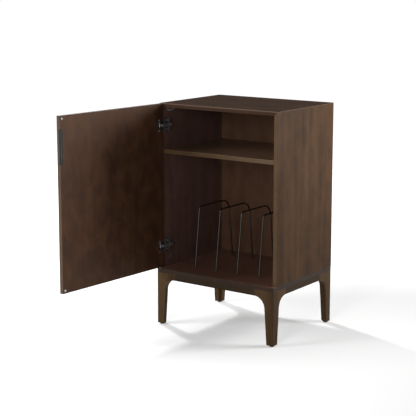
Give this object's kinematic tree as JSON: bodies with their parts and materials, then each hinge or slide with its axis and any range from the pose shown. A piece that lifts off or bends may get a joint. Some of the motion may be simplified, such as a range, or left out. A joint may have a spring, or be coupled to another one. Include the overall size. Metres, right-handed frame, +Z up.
{
  "type": "record cabinet",
  "caption": "Upright record cabinet on tapered bracket legs, with a side-hinged door, a high shelf and bent-wire dividers for records.",
  "frame": {"origin": "on the floor under the middle of the leg frame, half way between its front and back faces", "axes": "+X to the right seen from the front, +Y to the back, +Z up; the door stands open towards -Y on the left"},
  "size_m": [0.5314, 0.8728, 0.81],
  "materials": {
    "case_wood": "dark brown stained veneer, satin lacquer",
    "floor_wood": "dark brown stained veneer, satin lacquer",
    "door_wood": "dark brown stained veneer, satin lacquer",
    "back_wood": "thin board, dark brown stained, satin lacquer",
    "leg_wood": "dark brown stained solid wood, satin lacquer",
    "rail_wood": "dark brown stained solid wood, satin lacquer",
    "block_wood": "plain sawn wood",
    "dowel_wood": "plain turned wood",
    "divider_wire": "dark powder coat",
    "hinge_metal": "nickel plated pressed steel",
    "bracket_metal": "nickel plated steel",
    "cam_metal": "die-cast zinc",
    "screw_metal": "zinc plated steel",
    "pin_metal": "hardened steel",
    "pull_metal": "gunmetal grey",
    "bumper_clear": "soft clear polyurethane",
    "glide_plastic": "black moulded plastic"
  },
  "bodies": {
    "cabinet": {"top_panel": "case_wood", "left_side_panel": "case_wood", "right_side_panel": "case_wood", "shelf": "case_wood", "floor_panel": "floor_wood", "back_panel": "back_wood", "side_dowels": "dowel_wood", "shelf_dowels": "dowel_wood", "rail_dowels": "dowel_wood", "cam_locks": "cam_metal", "cam_bolts": "screw_metal", "left_top_bracket": "bracket_metal", "right_top_bracket": "bracket_metal", "bracket_screws": "screw_metal", "back_panel_screws": "screw_metal", "hinge_plate_screws": "screw_metal", "hinge_arm_screws": "screw_metal", "corner_block_screws": "screw_metal", "rail_screws": "screw_metal", "record_divider_1": "divider_wire", "record_divider_2": "divider_wire", "record_divider_3": "divider_wire", "record_divider_4": "divider_wire", "upper_hinge_plate": "hinge_metal", "upper_hinge_arm": "hinge_metal", "lower_hinge_plate": "hinge_metal", "lower_hinge_arm": "hinge_metal", "front_rail": "rail_wood", "back_rail": "rail_wood", "left_rail": "rail_wood", "right_rail": "rail_wood", "leg_front_left": "leg_wood", "corner_block_front_left": "block_wood", "glide_front_left": "glide_plastic", "leg_front_right": "leg_wood", "corner_block_front_right": "block_wood", "glide_front_right": "glide_plastic", "leg_back_left": "leg_wood", "corner_block_back_left": "block_wood", "glide_back_left": "glide_plastic", "leg_back_right": "leg_wood", "corner_block_back_right": "block_wood", "glide_back_right": "glide_plastic"},
    "door": {"door_panel": "door_wood", "door_pull": "pull_metal", "door_bumpers": "bumper_clear", "hinge_pins": "pin_metal", "hinge_cup_screws": "screw_metal", "upper_hinge_cup": "hinge_metal", "lower_hinge_cup": "hinge_metal"}
  },
  "joints": [
    {"name": "door_hinge", "type": "hinge", "parent": "cabinet", "child": "door", "pos_m": [-0.241, -0.18806, 0.5115], "axis": [0, 0, 1], "range_deg": [0, 94]}
  ]
}
